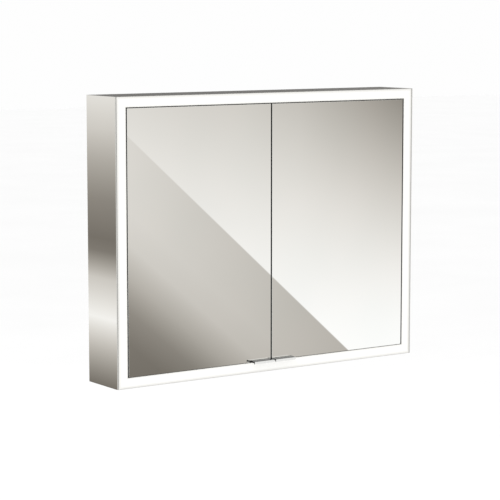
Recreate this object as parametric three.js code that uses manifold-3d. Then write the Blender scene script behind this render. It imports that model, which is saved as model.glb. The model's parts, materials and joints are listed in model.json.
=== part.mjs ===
// A wall-hung mirror cabinet with two doors and a lit frame round its front.
// Millimetres, +Z up. The origin is the middle of the back face: the wall is the plane y = 0,
// the front looks along -Y, and X runs to the right as seen from the front.
import * as THREE from "three";
import { mergeVertices } from "three/addons/utils/BufferGeometryUtils.js";
import Module from "manifold-3d";

const wasm = await Module();
wasm.setup();

// ---- Driving dimensions -------------------------------------------------------------------
const WIDTH = 900;
const HEIGHT = 700;
const DEPTH = 135; // wall to the front face, without the handles
const SEAM = 0.3; // bond line or air between two pieces that touch
const SIDE_GLASS = 3; // mirror glued to each side
const DOOR_GLASS = 4;
const DOOR_CORE = 8;
const DOOR_GAP = 3; // between a door and the side of the opening
const MEETING_GAP = 4; // between the two doors
const GAP_ABOVE = 2; // over the door's front glass
const GAP_BELOW = 1; // under it

// The carcass extrusion, seen in section: t runs inwards from its outer face, y runs to the wall.
const FRAME = 26; // its width, which is the width of the lit border
const WALL = 2;
const LIP = 0.6; // edge of metal on each side of the diffuser
const LEDGE = 2; // shelf that the diffuser sits on, past the lip
const LEDGE_THICK = 1.5;
const DIFFUSER = 2.3; // thickness of the diffuser's face
const CHANNEL = 22; // depth of the light channel
const CHAMBERS = 3; // hollow chambers behind the channel
const REAR_LEDGE = 10; // flange that the back mirror is bonded to
const REAR_LEDGE_THICK = 2;
const MITRE_GAP = 0.2; // taken off each mitred end
const KEY = { leg: 60, thick: 5 }; // angle in each corner

const BACK_GLASS = 4;
const BACK_SHEET = 1.5;
const RECESS = { top: 34, height: 60, depth: 11.9 }; // stepped-in strip that holds the rails

// Hooked rail on the cabinet and upturned rail on the wall.
const RAIL_SHEET = 1.5;
const HOOK = { fromSide: 120, plate: 40, top: 6, lip: 20, standoff: 3, shorter: 20, foot: 2 };
const WALL_SCREWS = { count: 4, radius: 3 };

const PIVOT_INSET = 20; // hinge axis from the door's outer edge
const PIN_RADIUS = 2;
const PIN_LENGTH = 30;
const RUNNING = 0.05; // radial clearance of a pin in its bore
const KNUCKLE_WALL = 1.5; // round the pin
const KNUCKLE_PLAY = 0.2; // to the bond line in front of it
const HINGE_FROM_END = 88; // hinge from the top or bottom of the door's core
const EYE = { height: 10, play: 0.5 }; // the bracket's knuckle, and the air above and below it
const NOTCH = { inwards: 12, above: 3 }; // cut-out of the door round a hinge
const LEAF_GAP = 2; // from the bracket's stem to the leaf's web
const BRACKET = { plate: 3, plateLong: 36, plateHalf: 14, arm: 4, clear: 2.5, beside: 1.5 };

const CORE_INSET = 3; // core and rear mirror, inside the sides of the front mirror
const CORE_END = 6; // the same two, from the top and bottom of the opening
const CORE_BORDER = 30; // width of the core's members
// Bar handle: it passes under the door's core, and a leg is screwed behind the door.
const HANDLE = { width: 61, thick: 4.5, reach: 18, fall: 1.2, leg: 24, legThick: 2.5 };
const HANDLE_LIP = { drop: 2.6, thick: 3 }; // under its front edge, for the fingertips
const CATCH = { x: 40, width: 30, length: 20, height: 12 };

const SHELF_GLASS = 6;
const SHELF_SLOTS = { upper: 12, lower: 4 }; // the slot of the rails that each shelf hangs in
const SHELF_GAP = { front: 6, back: 2, hinge: 12.7 }; // to the doors, the rails and the hinge axis
const RAIL = { fromSide: 170, width: 16, depth: 8, top: 24, bottom: 96 };
const SLOT = { first: 15, pitch: 25, high: 12, wide: 3, deep: 6 }; // first: middle of the lowest
const SUPPORT = { wide: 10, heel: 34, toe: 7, heelLong: 6, short: 14 };

const DRIVER = { length: 220, x: -40, above: 2, before: 4.5, hole: 30, turn: 12 };
const TERMINAL = { width: 40, height: 20, z: -285 };
const GROMMET = { z: -230, hole: 9, bore: 4.5, flange: 12, flangeThick: 2, length: 7 };
const SWITCH = { fromSide: 170, body: 16, flange: 20, rim: 1.5, well: 10.6, depth: 14, floor: 2 };
const BUTTON = { side: 10, travel: 2, proud: 3 };
const STRIP = { width: 10, thick: 1, end: 34 };
const CHIP = { wide: 3.5, high: 0.9, pitch: 50 };
const LEAD_RADIUS = 3;
const LED_LEAD_RADIUS = 2;
const LEAD_ROOM = 1.5; // from a lead's surface to its hole
const JOIN = 1; // overlap of two shapes that become one piece, and of a cut past a face

// ---- Sizes that follow --------------------------------------------------------------------
const ringX = WIDTH / 2 - SIDE_GLASS - SEAM; // outer face of the side extrusions
const ringZ = HEIGHT / 2;
const openX = ringX - FRAME; // half the opening
const openZ = ringZ - FRAME;
const frontY = -DEPTH;
const webY = frontY + CHANNEL; // front face of the web behind the light channel
const rearLedgeY = -(RECESS.depth + BACK_SHEET + SEAM); // rear face of the flange
const backMirrorY = rearLedgeY - REAR_LEDGE_THICK - SEAM; // rear face of the back mirror
const innerBackY = backMirrorY - BACK_GLASS; // what one sees at the back of the cabinet
const glassTop = openZ - GAP_ABOVE;
const glassBottom = -openZ + GAP_BELOW;
const coreHalf = openZ - CORE_END; // half the height of the core and the rear mirror
const notchTop = -coreHalf; // of the glass's notch for the handle
const coreY = frontY + DOOR_GLASS + SEAM; // front face of the door's core
const rearGlassY = coreY + DOOR_CORE + SEAM;
const doorRearY = rearGlassY + DOOR_GLASS;
const pivotX = openX - DOOR_GAP - PIVOT_INSET; // same on both sides
const knuckle = PIN_RADIUS + KNUCKLE_WALL;
const pivotY = coreY + knuckle + KNUCKLE_PLAY;
const hingeZ = coreHalf - HINGE_FROM_END;
const turnRadius = Math.hypot(PIVOT_INSET, pivotY - frontY); // of the door's outer front corner
const railY = innerBackY - SEAM; // rear face of the shelf rails
const railFrontY = railY - RAIL.depth;
const floorZ = -openZ;

// ---- Materials ----------------------------------------------------------------------------
const paint = (color, roughness, metalness = 0) =>
  new THREE.MeshStandardMaterial({ color, roughness, metalness });
const anodised = paint(0x9a9893, 0.35, 1);
const mirror = paint(0xdedcd6, 0.02, 1);
const chrome = paint(0xd8d8d6, 0.08, 1);
const steel = paint(0xb4b6b6, 0.4, 1);
const opal = paint(0xffffff, 0.45);
const clearGlass = paint(0xd5e6de, 0.03);
const boardWhite = paint(0xf0efe8, 0.6);
const greyPlastic = paint(0xc9cac7, 0.45);
const blackRubber = paint(0x1c1c1c, 0.8);
const coreGrey = paint(0x8d8d8a, 0.5);
const cableWhite = paint(0xe6e4de, 0.5);

// ---- Shapes -------------------------------------------------------------------------------
// A closed geometry as a solid for joins and cuts.
function solid(geometry) {
  const plain = geometry.clone();
  plain.deleteAttribute("normal");
  plain.deleteAttribute("uv");
  const merged = mergeVertices(plain, 1e-4);
  return new wasm.Manifold(
    new wasm.Mesh({
      numProp: 3,
      vertProperties: merged.attributes.position.array,
      triVerts: new Uint32Array(merged.index.array),
    }),
  );
}

function geometryOf(manifold) {
  const { vertProperties, triVerts } = manifold.getMesh();
  const made = new THREE.BufferGeometry();
  made.setAttribute("position", new THREE.BufferAttribute(new Float32Array(vertProperties), 3));
  made.setIndex(new THREE.BufferAttribute(new Uint32Array(triVerts), 1));
  made.computeVertexNormals();
  return made;
}

// A box between two x, two y and two z values.
function block([x0, x1], [y0, y1], [z0, z1]) {
  const made = new THREE.BoxGeometry(x1 - x0, y1 - y0, z1 - z0);
  return made.translate((x0 + x1) / 2, (y0 + y1) / 2, (z0 + z1) / 2);
}

function outline(points, holes = []) {
  const shape = new THREE.Shape(points.map(([a, b]) => new THREE.Vector2(a, b)));
  shape.holes = holes.map((hole) => new THREE.Path(hole.map(([a, b]) => new THREE.Vector2(a, b))));
  return shape;
}

// A (y, z) outline carried along X between two values.
function alongX(shape, [x0, x1]) {
  const made = new THREE.ExtrudeGeometry(shape, { depth: x1 - x0, bevelEnabled: false });
  const toX = new THREE.Matrix4().makeBasis(
    new THREE.Vector3(0, 1, 0),
    new THREE.Vector3(0, 0, 1),
    new THREE.Vector3(1, 0, 0),
  );
  return made.applyMatrix4(toX).translate(x0, 0, 0);
}

// An (x, z) outline carried from a rear y to a front y.
function alongY(shape, [yRear, yFront]) {
  const made = new THREE.ExtrudeGeometry(shape, { depth: yRear - yFront, bevelEnabled: false });
  return made.rotateX(Math.PI / 2).translate(0, yRear, 0);
}

// A cylinder whose axis is parallel to Z or to Y.
function rodZ(radius, [x, y], [z0, z1], sides = 24) {
  const made = new THREE.CylinderGeometry(radius, radius, z1 - z0, sides);
  return made.rotateX(Math.PI / 2).translate(x, y, (z0 + z1) / 2);
}

function rodY(radius, [x, z], [y0, y1], sides = 32) {
  return new THREE.CylinderGeometry(radius, radius, y1 - y0, sides).translate(x, (y0 + y1) / 2, z);
}

function rectangle([a0, a1], [b0, b1]) {
  return [
    [a0, b0],
    [a1, b0],
    [a1, b1],
    [a0, b1],
  ];
}

// A round lead along a rounded route.
function lead(points, radius) {
  const route = points.map((point) => new THREE.Vector3(...point));
  const extrudePath = new THREE.CatmullRomCurve3(route, false, "centripetal");
  const section = new THREE.Shape();
  section.absarc(0, 0, radius, 0, Math.PI * 2);
  const steps = Math.round(extrudePath.getLength() / (radius * 2));
  return new THREE.ExtrudeGeometry(section, { steps, extrudePath, curveSegments: 4 });
}

const cabinet = new THREE.Group();

function place(name, geometry, material) {
  const made = new THREE.Mesh(geometry, material);
  made.name = name;
  cabinet.add(made);
  return made;
}

// ---- The carcass: four mitred extrusions --------------------------------------------------
// In a side's own axes X is t, inwards from the outer face, Y is y, and Z runs along the side.
const SIDES = {
  top: { inwards: [0, 0, -1], outer: [0, 0, ringZ], half: ringX },
  bottom: { inwards: [0, 0, 1], outer: [0, 0, -ringZ], half: ringX },
  left: { inwards: [1, 0, 0], outer: [-ringX, 0, 0], half: ringZ },
  right: { inwards: [-1, 0, 0], outer: [ringX, 0, 0], half: ringZ },
};

function onSide(side, mesh) {
  const inwards = new THREE.Vector3(...SIDES[side].inwards);
  const toWall = new THREE.Vector3(0, 1, 0);
  const along = new THREE.Vector3().crossVectors(inwards, toWall);
  mesh.setRotationFromMatrix(new THREE.Matrix4().makeBasis(inwards, toWall, along));
  mesh.position.set(...SIDES[side].outer);
  return mesh;
}

// Carries a (t, y) section along a side and cuts both ends at 45 degrees: the end of each
// point lies t short of the corner.
function mitred(section, half) {
  const made = new THREE.ExtrudeGeometry(section, { depth: 1, bevelEnabled: false });
  const p = made.attributes.position;
  for (let i = 0; i < p.count; i++) {
    const end = half - p.getX(i) - MITRE_GAP;
    p.setZ(i, p.getZ(i) > 0.5 ? end : -end);
  }
  return made;
}

// Front and rear y of a hollow chamber: 0 is the one behind the light channel.
function chamber(i) {
  const pitch = (webY + WALL) / -CHAMBERS;
  return [webY + WALL + i * pitch, webY + (i + 1) * pitch];
}

function carcassSection() {
  const seatY = frontY + DIFFUSER + SEAM; // front of the ledges under the diffuser
  const ledgeY = seatY + LEDGE_THICK;
  const ledgeFrontY = rearLedgeY - REAR_LEDGE_THICK;
  const points = [
    [0, frontY],
    [LIP, frontY],
    [LIP, seatY],
    [LIP + LEDGE, seatY],
    [LIP + LEDGE, ledgeY],
    [WALL, ledgeY],
    [WALL, webY],
    [FRAME - WALL, webY],
    [FRAME - WALL, ledgeY],
    [FRAME - LIP - LEDGE, ledgeY],
    [FRAME - LIP - LEDGE, seatY],
    [FRAME - LIP, seatY],
    [FRAME - LIP, frontY],
    [FRAME, frontY],
    [FRAME, ledgeFrontY],
    [FRAME + REAR_LEDGE, ledgeFrontY],
    [FRAME + REAR_LEDGE, rearLedgeY],
    [FRAME, rearLedgeY],
    [FRAME, 0],
    [0, 0],
  ];
  const chambers = Array.from({ length: CHAMBERS }, (_, i) => rectangle([WALL, FRAME - WALL], chamber(i)));
  return outline(points, chambers);
}

function diffuserSection() {
  const seatY = frontY + DIFFUSER;
  const plug = 3; // tongue between the two ledges
  const inner = LIP + LEDGE + SEAM;
  return outline([
    [LIP + SEAM, frontY],
    [FRAME - LIP - SEAM, frontY],
    [FRAME - LIP - SEAM, seatY],
    [FRAME - inner, seatY],
    [FRAME - inner, seatY + plug],
    [inner, seatY + plug],
    [inner, seatY],
    [LIP + SEAM, seatY],
  ]);
}

// A board with a row of light-emitting chips, on the web at the bottom of the channel.
function ledStrip(half) {
  const reach = half - STRIP.end;
  const middle = FRAME / 2;
  const face = webY - SEAM - STRIP.thick;
  let made = solid(
    block([middle - STRIP.width / 2, middle + STRIP.width / 2], [face, webY - SEAM], [-reach, reach]),
  );
  const pairs = Math.floor((reach - CHIP.pitch / 2) / CHIP.pitch);
  for (let i = -pairs; i <= pairs; i++) {
    const at = i * CHIP.pitch;
    const chip = block(
      [middle - CHIP.wide / 2, middle + CHIP.wide / 2],
      [face - CHIP.high, face + STRIP.thick / 2],
      [at - CHIP.wide / 2, at + CHIP.wide / 2],
    );
    made = made.add(solid(chip));
  }
  return geometryOf(made);
}

// What the bottom extrusion holds: the driver in the rear chamber, the switch in the one before
// it, and holes for the mains lead and for the lead to the light channel.
const [chamberFrontY, chamberRearY] = chamber(CHAMBERS - 1);
const driverY = (chamberFrontY + chamberRearY) / 2;
const driverZ = -ringZ + FRAME / 2;
const mainsX = DRIVER.x + DRIVER.length / 2 + DRIVER.hole;
const mainsY = (rearLedgeY - BACK_SHEET) / 2;
const ledX = DRIVER.x - DRIVER.length / 2 - DRIVER.hole;
const switchX = openX - SWITCH.fromSide;
const switchY = (chamber(CHAMBERS - 2)[0] + chamber(CHAMBERS - 2)[1]) / 2;

// The bottom extrusion's cut-outs, where they are in the cabinet.
function bottomCuts() {
  const hole = SWITCH.body / 2 + SEAM;
  return [
    rodZ(LEAD_RADIUS + LEAD_ROOM, [mainsX, mainsY], [floorZ - WALL * 1.5, floorZ + WALL], 16),
    rodY(LED_LEAD_RADIUS + LEAD_ROOM, [ledX, driverZ], [webY - WALL, chamberFrontY + WALL], 16),
    block(
      [switchX - hole, switchX + hole],
      [switchY - hole, switchY + hole],
      [floorZ - WALL * 1.5, floorZ + WALL],
    ),
  ];
}

for (const [side, { half }] of Object.entries(SIDES)) {
  const profile = onSide(side, place(`frame_profile_${side}`, mitred(carcassSection(), half), anodised));
  if (side === "bottom") {
    profile.updateMatrix();
    const toSide = profile.matrix.clone().invert();
    let cut = solid(profile.geometry);
    for (const made of bottomCuts()) {
      cut = cut.subtract(solid(made.applyMatrix4(toSide)));
    }
    profile.geometry = geometryOf(cut);
  }
  onSide(side, place(`diffuser_${side}`, mitred(diffuserSection(), half), opal));
  onSide(side, place(`led_strip_${side}`, ledStrip(half), boardWhite));
}

// An angle in the middle chamber of each corner, which pulls the mitre together.
for (const [corner, sx, sz] of [
  ["top_left", -1, 1],
  ["top_right", 1, 1],
  ["bottom_left", -1, -1],
  ["bottom_right", 1, -1],
]) {
  const x = ringX - WALL - SEAM;
  const z = ringZ - WALL - SEAM;
  const legs = [
    [x, z],
    [x - KEY.leg, z],
    [x - KEY.leg, z - KEY.thick],
    [x - KEY.thick, z - KEY.thick],
    [x - KEY.thick, z - KEY.leg],
    [x, z - KEY.leg],
  ];
  const [front, rear] = chamber(1);
  const shape = outline(legs.map(([a, b]) => [sx * a, sz * b]));
  place(`corner_key_${corner}`, alongY(shape, [rear - SEAM, front + SEAM]), steel);
}

// ---- Glass on the sides and at the back, and the sheet behind it --------------------------
// The two x values a and b on the right, or their mirror image on the left.
const across = (s, a, b) => (s > 0 ? [a, b] : [-b, -a]);
const HANDS = { left: -1, right: 1 };

for (const [hand, s] of Object.entries(HANDS)) {
  const glass = block(across(s, ringX + SEAM, WIDTH / 2), [frontY, 0], [-ringZ, ringZ]);
  place(`side_mirror_${hand}`, glass, mirror);
}

const fitX = openX - SEAM;
const fitZ = openZ - SEAM;
place("back_mirror", block([-fitX, fitX], [innerBackY, backMirrorY], [-fitZ, fitZ]), mirror);

const recessTop = openZ - RECESS.top;
const recessBottom = recessTop - RECESS.height;

function backCover() {
  const rear = -RECESS.depth;
  const front = rear - BACK_SHEET;
  const section = outline([
    [0, -fitZ],
    [0, recessBottom],
    [rear, recessBottom],
    [rear, recessTop],
    [0, recessTop],
    [0, fitZ],
    [-BACK_SHEET, fitZ],
    [-BACK_SHEET, recessTop + BACK_SHEET],
    [front, recessTop + BACK_SHEET],
    [front, recessBottom - BACK_SHEET],
    [-BACK_SHEET, recessBottom - BACK_SHEET],
    [-BACK_SHEET, -fitZ],
  ]);
  const hole = rodY(GROMMET.hole, [mainsX, GROMMET.z], [-BACK_SHEET * 2, BACK_SHEET]);
  return geometryOf(solid(alongX(section, [-fitX, fitX])).subtract(solid(hole)));
}
place("back_cover", backCover(), steel);

// A bush that the mains lead enters by: it is pushed in from inside and flush behind.
function grommet() {
  const neck = GROMMET.hole - SEAM;
  const profile = [
    [GROMMET.bore, 0],
    [neck, 0],
    [neck, BACK_SHEET + SEAM],
    [GROMMET.flange, BACK_SHEET + SEAM],
    [GROMMET.flange, BACK_SHEET + SEAM + GROMMET.flangeThick],
    [neck, GROMMET.length],
    [GROMMET.bore, GROMMET.length],
    [GROMMET.bore, 0],
  ];
  const made = new THREE.LatheGeometry(profile.map(([r, y]) => new THREE.Vector2(r, y)), 32);
  return made.rotateX(Math.PI).translate(mainsX, 0, GROMMET.z);
}
place("cable_grommet", grommet(), blackRubber);

// ---- Hanging: a hooked rail on the cabinet over an upturned rail on the wall --------------
// A sheet of even thickness bent along a (y, z) route, as an outline.
function bentSheet(route, thick) {
  const points = route.getPoints(8);
  const offset = points.map((point, i) => {
    const before = points[Math.max(i - 1, 0)];
    const after = points[Math.min(i + 1, points.length - 1)];
    const come = point.clone().sub(before).normalize();
    const go = after.clone().sub(point).normalize();
    const along = come.clone().add(go).normalize();
    const reach = thick / 2 / along.dot(i ? come : go);
    return new THREE.Vector2(-along.y, along.x).multiplyScalar(reach);
  });
  const left = points.map((point, i) => point.clone().add(offset[i]));
  const right = points.map((point, i) => point.clone().sub(offset[i]));
  return new THREE.Shape([...left, ...right.reverse()]);
}

function route(points) {
  const path = new THREE.Path();
  points.forEach(([y, z], i) => (i ? path.lineTo(y, z) : path.moveTo(y, z)));
  return path;
}

const hangHalf = openX - HOOK.fromSide;
const wallHalf = hangHalf - HOOK.shorter;
const hangPlateY = -RECESS.depth + SEAM + RAIL_SHEET / 2;
const hookTopZ = recessTop - HOOK.top;
const hookLegY = -RAIL_SHEET * 1.5 - HOOK.standoff + SEAM * 2;
const lipY = (hangPlateY + hookLegY) / 2;
const lipTopZ = hookTopZ - RAIL_SHEET / 2 - SEAM;
const wallBendZ = hookTopZ - HOOK.lip - HOOK.standoff;

const hangRail = bentSheet(
  route([
    [hangPlateY, hookTopZ - HOOK.plate],
    [hangPlateY, hookTopZ],
    [hookLegY, hookTopZ],
    [hookLegY, hookTopZ - HOOK.lip],
  ]),
  RAIL_SHEET,
);
place("hanging_rail", alongX(hangRail, [-hangHalf, hangHalf]), steel);

const wallRailY = -RAIL_SHEET / 2;
const wallRailFootZ = recessBottom + HOOK.foot;
const wallRail = bentSheet(
  route([
    [wallRailY, wallRailFootZ],
    [wallRailY, wallBendZ],
    [lipY, wallBendZ],
    [lipY, lipTopZ],
  ]),
  RAIL_SHEET,
);
let wallRailSolid = solid(alongX(wallRail, [-wallHalf, wallHalf]));
for (let i = 0; i < WALL_SCREWS.count; i++) {
  const x = ((i + 0.5) / WALL_SCREWS.count - 0.5) * wallHalf * 2;
  const z = (wallRailFootZ + wallBendZ) / 2;
  const hole = rodY(WALL_SCREWS.radius, [x, z], [-RAIL_SHEET * 2, RAIL_SHEET], 20);
  wallRailSolid = wallRailSolid.subtract(solid(hole));
}
place("wall_rail", geometryOf(wallRailSolid), steel);

// ---- Electrics ----------------------------------------------------------------------------
const halfDriver = DRIVER.length / 2;
place(
  "led_driver",
  block(
    [DRIVER.x - halfDriver, DRIVER.x + halfDriver],
    [chamberFrontY + DRIVER.before, chamberRearY - DRIVER.before],
    [-ringZ + WALL + DRIVER.above, floorZ - WALL - DRIVER.above],
  ),
  greyPlastic,
);

const terminalFront = rearLedgeY + SEAM * 2;
place(
  "terminal_block",
  block(
    [mainsX - TERMINAL.width / 2, mainsX + TERMINAL.width / 2],
    [terminalFront, -BACK_SHEET - SEAM],
    [TERMINAL.z, TERMINAL.z + TERMINAL.height],
  ),
  boardWhite,
);

const intoDriver = DRIVER.hole - DRIVER.turn; // where the mains lead has turned to the driver
place(
  "mains_lead",
  lead(
    [
      [mainsX, mainsY, TERMINAL.z - SEAM],
      [mainsX, mainsY, floorZ + 8],
      [mainsX, mainsY, floorZ - WALL - 3],
      [mainsX - 5, driverY + 6, driverZ + 3],
      [mainsX - DRIVER.hole + intoDriver, driverY, driverZ],
      [mainsX - DRIVER.hole + SEAM, driverY, driverZ],
    ],
    LEAD_RADIUS,
  ),
  cableWhite,
);
place(
  "led_lead",
  lead(
    [
      [ledX + DRIVER.hole - SEAM, driverY, driverZ],
      [ledX + 14, driverY, driverZ],
      [ledX + 3, driverY - 4, driverZ],
      [ledX, driverY - 14, driverZ],
      [ledX, (driverY + webY) / 2, driverZ],
      [ledX, webY, driverZ],
    ],
    LED_LEAD_RADIUS,
  ),
  cableWhite,
);

// A push switch let into the floor, open on top for its button.
const rimZ = floorZ + SEAM + SWITCH.rim;
const switchFootZ = floorZ - SWITCH.depth;

function square(side, low, high) {
  const half = side / 2;
  return block([switchX - half, switchX + half], [switchY - half, switchY + half], [low, high]);
}

function switchHousing() {
  const stem = solid(square(SWITCH.body, switchFootZ, rimZ - SWITCH.rim / 2));
  const flange = solid(square(SWITCH.flange, floorZ + SEAM, rimZ));
  const well = solid(square(SWITCH.well, switchFootZ + SWITCH.floor, rimZ + JOIN));
  return geometryOf(stem.add(flange).subtract(well));
}
place("switch_housing", switchHousing(), greyPlastic);
const buttonFootZ = switchFootZ + SWITCH.floor + BUTTON.travel + SEAM;
place("switch_button", square(BUTTON.side, buttonFootZ, rimZ + BUTTON.proud), boardWhite);

// ---- Shelves ------------------------------------------------------------------------------
const railBottom = floorZ + RAIL.bottom;
const railTop = openZ - RAIL.top;
const slotZ = (k) => railBottom + SLOT.first + SLOT.pitch * k;
const slotCount = Math.floor((railTop - railBottom) / SLOT.pitch) - 1;
const shelfUnder = (k) => slotZ(k) + SLOT.high;
const shelfFrontY = doorRearY + SHELF_GAP.front;

for (const [hand, s] of Object.entries(HANDS)) {
  const x = s * (openX - RAIL.fromSide);
  let rail = solid(
    block([x - RAIL.width / 2, x + RAIL.width / 2], [railFrontY, railY], [railBottom, railTop]),
  );
  for (let k = 0; k < slotCount; k++) {
    const slot = block(
      [x - SLOT.wide / 2, x + SLOT.wide / 2],
      [railFrontY - JOIN, railFrontY + SLOT.deep],
      [slotZ(k) - SLOT.high / 2, slotZ(k) + SLOT.high / 2],
    );
    rail = rail.subtract(solid(slot));
  }
  place(`shelf_rail_${hand}`, geometryOf(rail), anodised);
  for (const [level, k] of Object.entries(SHELF_SLOTS)) {
    place(`shelf_support_${level}_${hand}`, shelfSupport(x, k), chrome);
  }
}

// A tapering arm with a tongue in the rail.
function shelfSupport(x, k) {
  const top = shelfUnder(k) - SEAM;
  const heelY = railFrontY - SEAM;
  const arm = outline([
    [heelY, top],
    [heelY, top - SUPPORT.heel],
    [heelY - SUPPORT.heelLong, top - SUPPORT.heel],
    [shelfFrontY + SUPPORT.short, top - SUPPORT.toe],
    [shelfFrontY + SUPPORT.short, top],
  ]);
  const tongue = block(
    [x - SLOT.wide / 2 + SEAM, x + SLOT.wide / 2 - SEAM],
    [heelY - JOIN, railFrontY + SLOT.deep - SEAM],
    [slotZ(k) - SLOT.high / 2 + SEAM, slotZ(k) + SLOT.high / 2 - SEAM],
  );
  return geometryOf(solid(alongX(arm, [x - SUPPORT.wide / 2, x + SUPPORT.wide / 2])).add(solid(tongue)));
}

const shelfHalf = pivotX - SHELF_GAP.hinge;
for (const [level, k] of Object.entries(SHELF_SLOTS)) {
  const under = shelfUnder(k);
  const glass = block(
    [-shelfHalf, shelfHalf],
    [shelfFrontY, railFrontY - SHELF_GAP.back],
    [under, under + SHELF_GLASS],
  );
  place(`shelf_${level}`, glass, clearGlass);
}

// ---- Doors --------------------------------------------------------------------------------
const notchX = pivotX - NOTCH.inwards;
const notchHalf = PIN_LENGTH / 2 + NOTCH.above;
const HINGES = { upper: hingeZ, lower: -hingeZ };

// The outline of the core and the rear mirror: inside the front mirror's edge, round the hinges.
function notchedDoor(s) {
  const inner = MEETING_GAP / 2 + CORE_INSET;
  const outer = openX - DOOR_GAP - CORE_INSET;
  const points = [
    [inner, -coreHalf],
    [outer, -coreHalf],
  ];
  for (const z of [-hingeZ, hingeZ]) {
    points.push([outer, z - notchHalf], [notchX, z - notchHalf]);
    points.push([notchX, z + notchHalf], [outer, z + notchHalf]);
  }
  points.push([outer, coreHalf], [inner, coreHalf]);
  return points.map(([x, z]) => [s * x, z]);
}

function doorCore(s) {
  const inner = MEETING_GAP / 2 + CORE_INSET + CORE_BORDER;
  const outer = notchX - CORE_BORDER;
  const half = coreHalf - CORE_BORDER;
  const window = rectangle(across(s, inner, outer), [-half, half]);
  return alongY(outline(notchedDoor(s), [window]), [coreY + DOOR_CORE, coreY]);
}

// The door's part of a hinge: a web beside the axis with an ear above and below the bracket.
function hingeLeaf(s, z) {
  const y = [coreY, pivotY + knuckle];
  const earZ = EYE.height / 2 + EYE.play;
  const half = PIN_LENGTH / 2;
  const web = solid(block(across(s, notchX + SEAM, pivotX - knuckle - LEAF_GAP), y, [z - half, z + half]));
  const reach = across(s, notchX + SEAM, pivotX + knuckle);
  const upper = solid(block(reach, y, [z + earZ, z + half]));
  const lower = solid(block(reach, y, [z - half, z - earZ]));
  const bore = solid(rodZ(PIN_RADIUS + RUNNING, [s * pivotX, pivotY], [z - half - JOIN, z + half + JOIN]));
  return geometryOf(web.add(upper).add(lower).subtract(bore));
}

// The cabinet's part: a plate on the side wall, and an arm that comes to the axis from behind,
// round the edge of the door as that turns in.
function hingeBracket(s, z) {
  const wallX = openX - SEAM;
  const armFront = pivotY + turnRadius + BRACKET.clear;
  const eye = [z - EYE.height / 2, z + EYE.height / 2];
  const barrel = solid(rodZ(knuckle, [s * pivotX, pivotY], eye));
  const stemX = across(s, pivotX - knuckle, pivotX + BRACKET.beside);
  const stem = solid(block(stemX, [pivotY, armFront + BRACKET.arm], eye));
  const armX = across(s, pivotX - knuckle, wallX - JOIN);
  const arm = solid(block(armX, [armFront, armFront + BRACKET.arm], eye));
  const plateX = across(s, wallX - BRACKET.plate, wallX);
  const plateZ = [z - BRACKET.plateHalf, z + BRACKET.plateHalf];
  const plate = solid(block(plateX, [armFront, armFront + BRACKET.plateLong], plateZ));
  const boreZ = [eye[0] - JOIN, eye[1] + JOIN];
  const bore = solid(rodZ(PIN_RADIUS + RUNNING, [s * pivotX, pivotY], boreZ));
  return geometryOf(barrel.add(stem).add(arm).add(plate).subtract(bore));
}

// A flat bar that comes out under the door, falls a little to its front edge and ends in a lip.
function handle(s) {
  const legY = doorRearY + SEAM;
  const top = notchTop - SEAM;
  const under = top - HANDLE.thick;
  const tipY = frontY - HANDLE.reach;
  const section = outline([
    [tipY, under - HANDLE_LIP.drop],
    [tipY + HANDLE_LIP.thick, under - HANDLE_LIP.drop],
    [tipY + HANDLE_LIP.thick, under],
    [legY + HANDLE.legThick, under],
    [legY + HANDLE.legThick, top + HANDLE.leg],
    [legY, top + HANDLE.leg],
    [legY, top],
    [frontY, top],
    [tipY, top - HANDLE.fall],
  ]);
  return alongX(section, across(s, MEETING_GAP / 2, MEETING_GAP / 2 + HANDLE.width));
}

// A magnet under the top of the opening that the closed door rests on.
function doorCatch(s) {
  const y = [doorRearY + SEAM, doorRearY + SEAM + CATCH.length];
  return block(across(s, CATCH.x, CATCH.x + CATCH.width), y, [openZ - SEAM - CATCH.height, openZ - SEAM]);
}

// The front mirror, with a notch for the handle at its inner lower corner.
function doorMirror(s) {
  const inner = MEETING_GAP / 2;
  const outer = openX - DOOR_GAP;
  const notchEnd = inner + HANDLE.width + SEAM;
  const points = [
    [inner, notchTop],
    [notchEnd, notchTop],
    [notchEnd, glassBottom],
    [outer, glassBottom],
    [outer, glassTop],
    [inner, glassTop],
  ];
  return alongY(outline(points.map(([x, z]) => [s * x, z])), [frontY + DOOR_GLASS, frontY]);
}

for (const [hand, s] of Object.entries(HANDS)) {
  place(`door_mirror_${hand}`, doorMirror(s), mirror);
  place(`door_core_${hand}`, doorCore(s), coreGrey);
  const rearGlass = alongY(outline(notchedDoor(s)), [doorRearY, rearGlassY]);
  place(`door_rear_mirror_${hand}`, rearGlass, mirror);
  place(`door_handle_${hand}`, handle(s), chrome);
  place(`door_catch_${hand}`, doorCatch(s), blackRubber);
  for (const [level, z] of Object.entries(HINGES)) {
    place(`hinge_leaf_${level}_${hand}`, hingeLeaf(s, z), steel);
    place(`hinge_bracket_${level}_${hand}`, hingeBracket(s, z), steel);
    const pinZ = [z - PIN_LENGTH / 2, z + PIN_LENGTH / 2];
    place(`hinge_pin_${level}_${hand}`, rodZ(PIN_RADIUS, [s * pivotX, pivotY], pinZ), chrome);
  }
}

export default cabinet;
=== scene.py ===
"""A wall-hung mirror cabinet with two doors and a lit border, in metres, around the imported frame."""
import json
import math

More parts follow.
